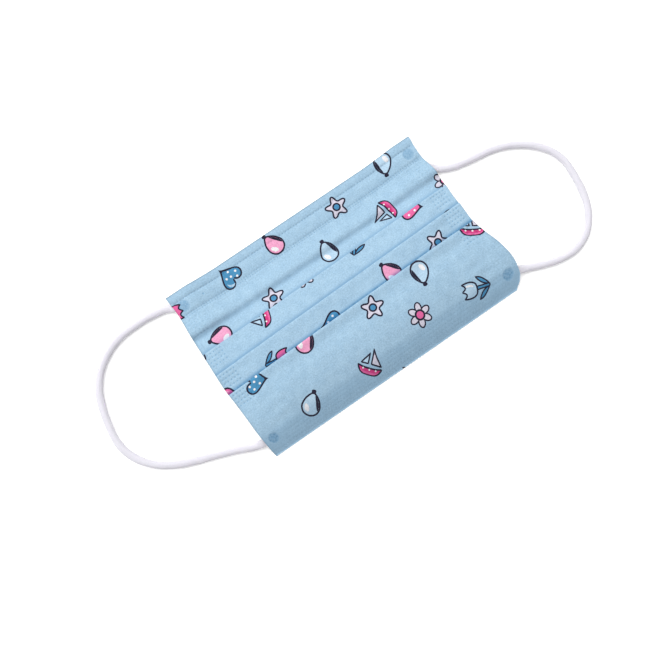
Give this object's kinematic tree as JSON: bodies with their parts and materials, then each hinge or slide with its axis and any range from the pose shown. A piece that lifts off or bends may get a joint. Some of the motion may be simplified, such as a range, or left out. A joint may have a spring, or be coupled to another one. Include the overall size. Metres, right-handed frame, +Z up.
{
  "type": "surgical face mask",
  "caption": "Child's pleated face mask lying outer side up, with three pleats, a nose hem, welded side bands and two elastic ear loops.",
  "frame": {"origin": "middle of the panel's outline, on the surface that the mask lies on", "axes": "+X along the panel from side to side, +Y towards the nose edge, +Z up, out of the outer side of the cloth"},
  "size_m": [0.2675, 0.097, 0.0152],
  "materials": {
    "nonwoven_cloth": "matt",
    "elastic": "matt"
  },
  "bodies": {
    "root": {"pleated_panel": "nonwoven_cloth", "loop_end_nose_left": "elastic", "loop_end_nose_right": "elastic", "loop_end_chin_left": "elastic", "loop_end_chin_right": "elastic", "ear_loop_left": "elastic", "ear_loop_right": "elastic"}
  },
  "joints": []
}
